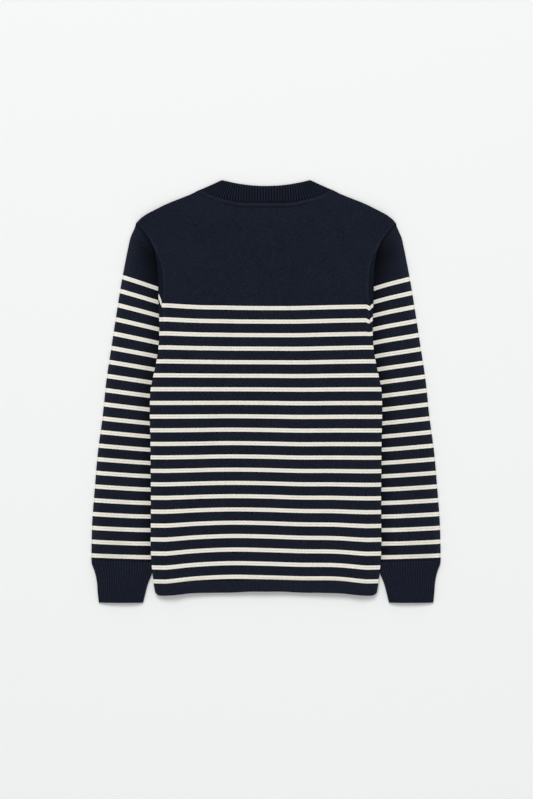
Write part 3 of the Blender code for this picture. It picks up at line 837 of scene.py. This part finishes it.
def flat_tube(name, upper, lower, wales, stitch_rows, material, crest, relief, shade=1.0, mirrored=False):
    """Face = centre line + radius x direction of the fold. The inner face has the smaller radius.

    wales counts the stitches or ribs along the upper line, and stitch_rows gives the course number at each
    point of the plan. crest and relief raise the upper line, and shade is painted light on it: painted shade
    that darkens it in creases and a painted highlight that lightens it on the outer fold.
    """
    def outward(line, end):
        step = line[:, end] - line[:, 1 if end == 0 else -2]
        return step / np.linalg.norm(step, axis=-1, keepdims=True)

    start_way, end_way = outward(upper, 0), outward(upper, -1)
    start = upper[:, 0] - start_way * FOLD_OUTSIDE
    end = upper[:, -1] - end_way * FOLD_OUTSIDE
    turn = len(HALF_TURN)
    over = np.concatenate([start[:, None], upper[:, 1:-1], end[:, None]], axis=1)
    under = np.concatenate([end[:, None], lower[:, 1:-1][:, ::-1], start[:, None]], axis=1)
    ends = (np.repeat(end[:, None], turn, 1), np.repeat(start[:, None], turn, 1))
    centres = np.concatenate([over, ends[0], under, ends[1]], axis=1)
    quarter = np.pi / 2
    angle = np.concatenate(
        [np.full(over.shape[1], quarter), HALF_TURN, np.full(under.shape[1], -quarter), HALF_TURN[::-1]]
    )
    way = np.zeros(centres.shape)
    way[:, over.shape[1] : over.shape[1] + turn] = end_way[:, None]
    way[:, -turn:] = start_way[:, None]
    rise, raised = np.zeros((2, *centres.shape[:2]))
    shades = np.ones(centres.shape[:2])
    for values, given in ((rise, crest), (raised, relief), (shades, shade)):
        values[:, : over.shape[1]] = given

    def face(radius):
        plan = centres + way * (radius * np.cos(angle))[None, :, None]
        height = FOLD_OUTSIDE + radius * np.sin(angle) + raised
        return np.concatenate([plan, height[..., None]], axis=-1)

    outside, inside = face(FOLD_OUTSIDE), face(FOLD_OUTSIDE - WALL)
    outside[..., 2] += rise
    ring = np.concatenate([outside, outside[:, :1]], axis=1)
    steps = np.linalg.norm(np.diff(ring[len(ring) // 2], axis=0), axis=1)
    lengths = np.concatenate([[0.0], np.cumsum(steps)])
    last = len(wales) - 1
    around = wales[-1] + (lengths - lengths[last]) * (wales[-1] - wales[0]) / lengths[last]
    around[: last + 1] = wales
    courses = stitch_rows(np.concatenate([centres, centres[:, :1]], axis=1))
    stitches = np.stack([np.broadcast_to(around, courses.shape), courses], axis=-1)
    if mirrored:
        outside, inside = outside * (-1, 1, 1), inside * (-1, 1, 1)
    else:
        outside, inside, shades = [np.roll(grid[:, ::-1], 1, axis=1) for grid in (outside, inside, shades)]
        stitches = stitches[:, ::-1]
    return cloth_wall(name, outside, inside, stitches, material, shades, tube=True)


print("points round a fold:", len(HALF_TURN) + 2)

# %% [markdown]
# A sleeve's courses slope at its head, where it hangs from the shoulder, and lie level at its cuff. Each
# sleeve has twenty-one stripes too, a little further apart than the body's.

# %% Courses of a sleeve
SLEEVE_STRIPE_X = 241.4
SLEEVE_STRIPES = np.array(
    [
        # number, height at SLEEVE_STRIPE_X
        (-6.0, 341.0), (0.0, 193.0), (5.0, 69.5), (10.0, -50.0),
        (15.0, -164.4), (20.0, -280.5), (21.0, -303.7),
    ]
)
COURSE_SLOPE, SLOPE_FALL = 0.33, 0.115
FIRST_STRIPE_Y, SLEEVE_PITCH = 193.6, 23.7
RIGHT_DROP = 3.6


def sleeve_stripe(plan):
    """Number of the stripe at a point of the right sleeve, found by stepping towards the sloping course."""
    across, height = plan[..., 0], plan[..., 1]
    number = np.zeros(across.shape)
    order = SLEEVE_STRIPES[::-1]
    for _ in range(12):
        slope = COURSE_SLOPE * np.exp(-SLOPE_FALL * np.clip(number, 0.0, None))
        level = height - slope * (across - SLEEVE_STRIPE_X)
        number = np.interp(level, order[:, 1], order[:, 0])
    return number


def left_courses(plan):
    """The stripe's number times the courses from one stripe to the next."""
    return sleeve_stripe(plan) * STRIPE_COURSES


def right_courses(plan):
    """The right sleeve lies a little flatter: near its outer fold the upper stripes hang lower."""
    drop = RIGHT_DROP * smooth((plan[..., 0] - 185.0) / 75.0) * smooth((plan[..., 1] + 60.0) / 250.0)
    return left_courses(plan + np.stack([0.0 * drop, drop], axis=-1))


def sleeve_line(outer_height, parts):
    """A straight course from the outer edge to the hidden one."""
    outer = curve(SLEEVE_OUTSIDE, outer_height)
    number = (FIRST_STRIPE_Y - outer_height) / SLEEVE_PITCH
    slope = COURSE_SLOPE * np.exp(-SLOPE_FALL * number)
    inner_height = outer_height
    for _ in range(4):
        inner_height = outer_height - slope * (outer - under_edge(inner_height))
    ends = np.array([[outer, outer_height], [under_edge(inner_height), inner_height]])
    return ends[0] + (ends[1] - ends[0]) * parts[:, None]


print("stripes over the cuff seam:", round(float(sleeve_stripe(np.array([SLEEVE_STRIPE_X, CUFF_SEAM_Y]))), 2))

# %% [markdown]
# The sleeve starts along the armhole and then under the body. Its upper layer sinks beside the body's edge
# and is fullest in the middle, so a soft dark valley runs down from the armhole. Painted shade darkens that
# valley, the head and the armhole seam, and a painted highlight lightens the outer fold.

# %% Sleeves
HEAD_LOW_Y = 213.0
SEWN_GAP = 0.05
SLEEVE_FILL, CUFF_SEAM_FILL = 8.0, 0.4
HEAD_ROWS, SLEEVE_ROWS = 30, 120
# Painted shade in the valley beside the body, at the head and along the seam, and a painted highlight on the
# outer fold.
VALLEY_SHADE, VALLEY_WIDTH = 0.62, 17.0
HEAD_SHADE, HEAD_WIDTH = 0.78, 29.0
SEAM_SHADE, SEAM_WIDTH = 0.7, 2.4
LIT_FOLD, LIT_FOLD_WIDTH = 0.42, 10.0


def head_line(steps=34):
    """The sleeve's head: the armhole, moved out by the sewn gap, and then under the body to the underarm."""
    heights = np.linspace(TIP_Y, HEAD_LOW_Y, steps)
    edge = np.column_stack([body_edge(heights), heights])
    along = np.gradient(edge, axis=0)
    along /= np.linalg.norm(along, axis=1, keepdims=True)
    outside = edge + np.column_stack([-along[:, 1], along[:, 0]]) * SEWN_GAP
    under_part = np.linspace(0.0, 1.0, steps)[1:, None] * (len(HEAD_UNDER) - 1e-6)
    corners = np.concatenate([outside[-1:], HEAD_UNDER])
    piece = under_part[:, 0].astype(int)
    under = corners[piece] + (corners[piece + 1] - corners[piece]) * (under_part - piece[:, None])
    line = np.concatenate([outside, under])
    lengths = np.concatenate([[0.0], np.cumsum(np.linalg.norm(np.diff(line, axis=0), axis=1))])
    return line, lengths / lengths[-1]


def sleeve_puff(from_body, from_outside):
    """0 under the body and at the outer fold, and 1 where the sleeve is fullest."""
    return smooth((from_body + 1.0) / 34.0) * (1 - np.exp(-from_outside / 13.0))


def sleeve(name, mirrored, wrinkle_phase):
    """Rows blend from the curved head to the first stripe, then follow the courses to the cuff."""
    head, parts = head_line()
    first = sleeve_line(FIRST_STRIPE_Y, parts)
    rows = []
    for part in np.linspace(0.0, 1.0, HEAD_ROWS)[:-1]:
        outer_height = TIP_Y + (FIRST_STRIPE_Y - TIP_Y) * part
        line = head + (first - head) * part
        to_edge = np.array([curve(SLEEVE_OUTSIDE, outer_height), outer_height]) - line[0]
        rows.append(line + to_edge * (1 - parts[:, None]) * min(1.0, 4 * part))
    for outer_height in np.linspace(FIRST_STRIPE_Y, CUFF_SEAM_Y + SEAM_GAP / 2, SLEEVE_ROWS):
        rows.append(sleeve_line(outer_height, parts))
    line = np.stack(rows)
    across, height = line[..., 0], line[..., 1]
    from_body = across - body_edge(height)
    from_outside = line[:, :1, 0] - across
    puff = sleeve_puff(from_body, from_outside)
    wrinkles = 0.45 * np.sin(height / 31.0 + across / 17.0 + wrinkle_phase) * smooth((height + 300.0) / 60.0)
    above_cuff = 0.8 * ridge(height - CUFF_SEAM_Y - 9.0, 10.0)
    opened = CUFF_SEAM_FILL + (1 - CUFF_SEAM_FILL) * smooth((height - CUFF_SEAM_Y) / 34.0)
    relief = puff * (SLEEVE_FILL + wrinkles + above_cuff) * opened
    # Painted shade beside the body and along the armhole seam, and a painted highlight on the outer fold.
    near_head = smooth((height - 150.0) / 80.0)
    depth = VALLEY_SHADE + (HEAD_SHADE - VALLEY_SHADE) * near_head - 0.6 * smooth((height - 228.0) / 44.0)
    shade = 1.0 - depth * ridge(from_body, VALLEY_WIDTH + (HEAD_WIDTH - VALLEY_WIDTH) * near_head)
    shade = shade * (1 - SEAM_SHADE * ridge(from_body, SEAM_WIDTH) * smooth((height - 195.0) / 20.0))
    shade = shade + LIT_FOLD * ridge(from_outside, LIT_FOLD_WIDTH)
    line, relief, shade = line[:, ::-1], relief[:, ::-1], shade[:, ::-1]
    wales = np.linspace(0.0, np.linalg.norm(line[60, -1] - line[60, 0]) / WALE, line.shape[1])
    courses = left_courses if mirrored else right_courses
    return flat_tube(name, line, line, wales, courses, STRIPED_KNIT, 0.0, relief, shade, mirrored)


sleeve_left = sleeve("sleeve_left_cloth", mirrored=True, wrinkle_phase=0.4)
sleeve_right = sleeve("sleeve_right_cloth", mirrored=False, wrinkle_phase=2.1)

# %% [markdown]
# The cuffs are deep ribs that narrow towards the hand. Twenty-three ribs show on each. They run together a
# little as the cuff narrows, and the end of the cuff is turned to a soft edge.

# %% Cuffs
CUFF_RIBS, CUFF_RIB_RISE = 23, 0.9
CUFF_EXTRA_FILL = 2.2


def cuff(name, mirrored):
    """Straight ribs between the two edges of the cuff, each a rounded wave of the upper face."""
    seam = sleeve_line(CUFF_SEAM_Y - SEAM_GAP / 2, np.array([1.0, 0.0]))
    part = np.linspace(0.0, 1.0, 40)
    inner = np.column_stack([curve(CUFF, part, column=2), seam[0, 1] + (CUFF_END_Y - seam[0, 1]) * part])
    outer = np.column_stack([curve(CUFF, part, column=1), seam[1, 1] + (CUFF_END_Y - seam[1, 1]) * part])

    def line(count):
        along = np.linspace(0.0, 1.0, count)[None, :, None]
        return inner[:, None] + (outer - inner)[:, None] * along

    upper = line(8 * CUFF_RIBS + 1)
    phase = np.linspace(0.0, CUFF_RIBS, upper.shape[1])[None, :] - 0.5
    clear_of_body = smooth((upper[..., 0] - body_edge(upper[..., 1]) - 1.0) / 5.0)
    soft_end = smooth((1 - part[:, None]) * 30.0 + 0.3) * smooth(part[:, None] * 24.0 + 0.2)
    crest = CUFF_RIB_RISE * rib_wave(phase) * clear_of_body * soft_end
    from_inside, from_outside = upper[..., 0] - upper[:, :1, 0], upper[:, -1:, 0] - upper[..., 0]
    fill = SLEEVE_FILL * CUFF_SEAM_FILL + CUFF_EXTRA_FILL * smooth(2.2 * part[:, None])
    puff = fill * sleeve_puff(upper[..., 0] - body_edge(upper[..., 1]), from_outside)
    puff = puff * (1 - np.exp(-from_inside / 7.0))
    end_round = -1.2 * ridge((1 - part[:, None]) * 72.0, 1.8)

    def cuff_courses(plan):
        return (CUFF_SEAM_Y - plan[..., 1]) / COURSE

    wales = phase[0] + 0.5
    relief = puff + end_round
    return flat_tube(name, upper, line(30), wales, cuff_courses, FINE_RIB_KNIT, crest, relief, 1.0, mirrored)


cuff_left = cuff("cuff_left_cloth", mirrored=True)
cuff_right = cuff("cuff_right_cloth", mirrored=False)

# %% [markdown]
# The neckband is one strip of rib, sewn round the neck and folded at its top. Laid flat, its back part shows
# and its front part hangs lower, hidden under the back. Its ribs stand square to the seam in the middle and
# lean outwards at the ends.

# %% Neckband
BAND_RIBS, BAND_RIB_RISE = 46, 0.95
BAND_ROWS, BAND_POINTS_PER_RIB, BAND_UNDER_POINTS = 26, 8, 110
BAND_BACK_POWER, BAND_FRONT_POWER = 2.0, 2.2
BAND_FILL, BAND_FOLD_DROP = 1.8, 1.1


def band_line(count, lowest, top_middle, top_power):
    """Each rib runs from the seam to the top fold. The top is shorter than the seam, so the ribs fan out."""
    part = np.linspace(-1.0, 1.0, count)
    seam = np.column_stack([NECK_END_X * part, neck_seam(NECK_END_X * part, lowest)])
    lean = 1.0 - (1.0 - BAND_PEAK_X / NECK_END_X) * part**2
    top_x = NECK_END_X * part * lean
    top_y = top_middle + (BAND_PEAK_Y - top_middle) * np.abs(top_x / BAND_PEAK_X) ** top_power
    top = np.column_stack([top_x, top_y])
    rib = (top - seam) / np.linalg.norm(top - seam, axis=1, keepdims=True)
    seam = seam + rib * SEWN_GAP
    return top + (seam - top) * np.linspace(0.0, 1.0, BAND_ROWS)[:, None, None]


def neckband(name):
    """A flat tube whose upper line is the back of the band and whose lower line is its front."""
    upper = band_line(BAND_POINTS_PER_RIB * BAND_RIBS + 1, BACK_NECK_Y, BAND_BACK_Y, BAND_BACK_POWER)
    lower = band_line(BAND_UNDER_POINTS, FRONT_NECK_Y, BAND_FRONT_Y, BAND_FRONT_POWER)
    down = np.linspace(0.0, 1.0, BAND_ROWS)[:, None]
    phase = np.linspace(0.0, BAND_RIBS, upper.shape[1])[None, :] - 0.5
    crest = BAND_RIB_RISE * rib_wave(phase) * smooth(down * 14.0 - 0.4) * smooth((1 - down) * 9.0 + 0.1)
    along = np.linspace(-1.0, 1.0, upper.shape[1])[None, :]
    puff = BAND_FILL * smooth((1 - np.abs(along)) * 6.0) * np.sin(np.pi * (0.12 + 0.76 * down)) ** 0.6
    top_fold = -BAND_FOLD_DROP * ridge(down * 28.0, 1.3)

    def band_courses(plan):
        return plan[..., 1] / COURSE

    return flat_tube(name, upper, lower, phase[0] + 0.5, band_courses, BAND_KNIT, crest, puff + top_fold)


band = neckband("neckband_cloth")

# %% [markdown]
# Last, each piece of cloth hides the solid it stands for, is attached to the root body, and prints the size
# it was cut to. A tube's cut is measured all the way round.

# %% Hiding the solids and attaching the cloth
CUTS = (
    # piece, node, slot, cut width, cut length, cut area, what it rests on
    (back, "back", "striped_knit", 0.442, 0.665, 0.245, ["front", "sleeve_left", "sleeve_right"]),
    (front, "front", "striped_knit", 0.442, 0.665, 0.236, ["table", "sleeve_left", "sleeve_right"]),
    (hem_back, "hem_back", "navy_rib", 0.380, 0.020, 0.0076, ["hem_front"]),
    (hem_front, "hem_front", "navy_rib", 0.380, 0.020, 0.0076, ["table"]),
    (sleeve_left, "sleeve_left", "striped_knit", 0.330, 0.560, 0.136, ["table"]),
    (sleeve_right, "sleeve_right", "striped_knit", 0.330, 0.560, 0.136, ["table"]),
    (cuff_left, "cuff_left", "navy_rib", 0.212, 0.073, 0.0135, ["table"]),
    (cuff_right, "cuff_right", "navy_rib", 0.212, 0.073, 0.0135, ["table"]),
    (band, "neckband", "navy_rib", 0.520, 0.033, 0.0152, ["table"]),
)
for piece, node, slot, width, length, area, under in CUTS:
    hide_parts(node)
    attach(piece, "root")
    print(piece.name, "is cut", width, "x", length, "m")

# %% [markdown]
# A small helper writes a box as two plain lists, its lowest and its highest corner. The visual model has to
# stay inside the solids' box, give or take a little for soft cloth.

# %% Corners of a box
def corners(box):
    """A box as two plain lists, its lowest and its highest corner."""
    return [list(corner) for corner in box]
